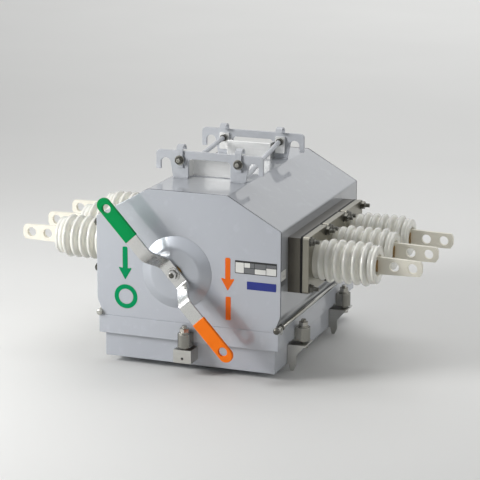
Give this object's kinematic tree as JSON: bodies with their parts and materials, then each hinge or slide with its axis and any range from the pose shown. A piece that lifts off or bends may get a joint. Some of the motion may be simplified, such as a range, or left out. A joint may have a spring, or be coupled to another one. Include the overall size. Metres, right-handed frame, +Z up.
{
  "type": "air load-break switch",
  "caption": "Air load-break switch: gabled steel case with a bottom tray, porcelain bushings with flat terminals on both sides, a two-ended pull handle and a hook hanger on the roof.",
  "frame": {"origin": "centre of the case in plan, at the height of the four feet's undersides", "axes": "+X from the left terminals to the right ones as seen from the handle, -Y out of the handle side, +Z up"},
  "size_m": [0.793, 0.547, 0.4025],
  "materials": {
    "case_paint": "satin",
    "flange_paint": "satin",
    "rubber": "matte",
    "bronze": "satin",
    "stainless": "polished",
    "plated_steel": "satin",
    "green_plastic": "gloss",
    "orange_plastic": "gloss",
    "porcelain": "gloss",
    "tinned_copper": "satin",
    "copper": "satin",
    "insulation": "matte"
  },
  "bodies": {
    "case": {"hood_wrap": "case_paint", "front_panel": "case_paint", "rear_panel": "case_paint", "skirt": "case_paint", "bottom_tray": "case_paint", "front_boss": "case_paint", "tray_seal": "rubber", "front_bush": "bronze", "bushing_frame": "flange_paint", "flange_gaskets_right": "rubber", "flange_gaskets_left": "rubber", "flanges_right": "flange_paint", "flanges_left": "flange_paint", "flange_studs_right": "stainless", "flange_studs_left": "stainless", "hanger_plate_front": "case_paint", "hanger_plate_rear": "case_paint", "hanger_straps": "stainless", "hook_clips": "stainless", "hanger_bolts": "stainless", "hanger_stays": "case_paint", "clamp_lugs": "stainless", "clamp_bolts": "stainless", "side_brackets": "case_paint", "end_brackets": "case_paint", "side_rods": "stainless", "bearing_plate_front": "plated_steel", "bearing_plate_rear": "plated_steel", "fixed_contacts": "copper", "arc_chutes": "insulation", "phase_barriers": "insulation", "bushing_right_front": "porcelain", "terminal_right_front": "tinned_copper", "bushing_right_middle": "porcelain", "terminal_right_middle": "tinned_copper", "bushing_right_rear": "porcelain", "terminal_right_rear": "tinned_copper", "bushing_left_front": "porcelain", "terminal_left_front": "tinned_copper", "bushing_left_middle": "porcelain", "terminal_left_middle": "tinned_copper", "bushing_left_rear": "porcelain", "terminal_left_rear": "tinned_copper"},
    "handle": {"handle_bar": "stainless", "off_grip": "green_plastic", "on_grip": "orange_plastic", "handle_bolt": "stainless", "drive_shaft": "stainless", "drive_crank": "plated_steel"},
    "link": {"drive_link": "plated_steel"},
    "rotor": {"rotor_shaft": "insulation", "rotor_crank": "plated_steel", "blade_carriers": "insulation", "moving_blades": "copper"}
  },
  "joints": [
    {"name": "handle_turn", "type": "hinge", "parent": "case", "child": "handle", "pos_m": [-0.0205, -0.245, 0.189], "axis": [0, 1, 0], "range_deg": [-90, 0]},
    {"name": "link_swing", "type": "hinge", "parent": "handle", "child": "link", "pos_m": [-0.0205, -0.187, 0.221], "axis": [0, 1, 0], "range_deg": [0, 90]},
    {"name": "rotor_turn", "type": "hinge", "parent": "case", "child": "rotor", "pos_m": [0, 0, 0.213], "axis": [0, 1, 0], "range_deg": [-90, 0]}
  ],
  "couplings": [
    {"joint": "link_swing", "follows": "handle_turn", "ratio": -1},
    {"joint": "rotor_turn", "follows": "handle_turn", "ratio": 1}
  ]
}
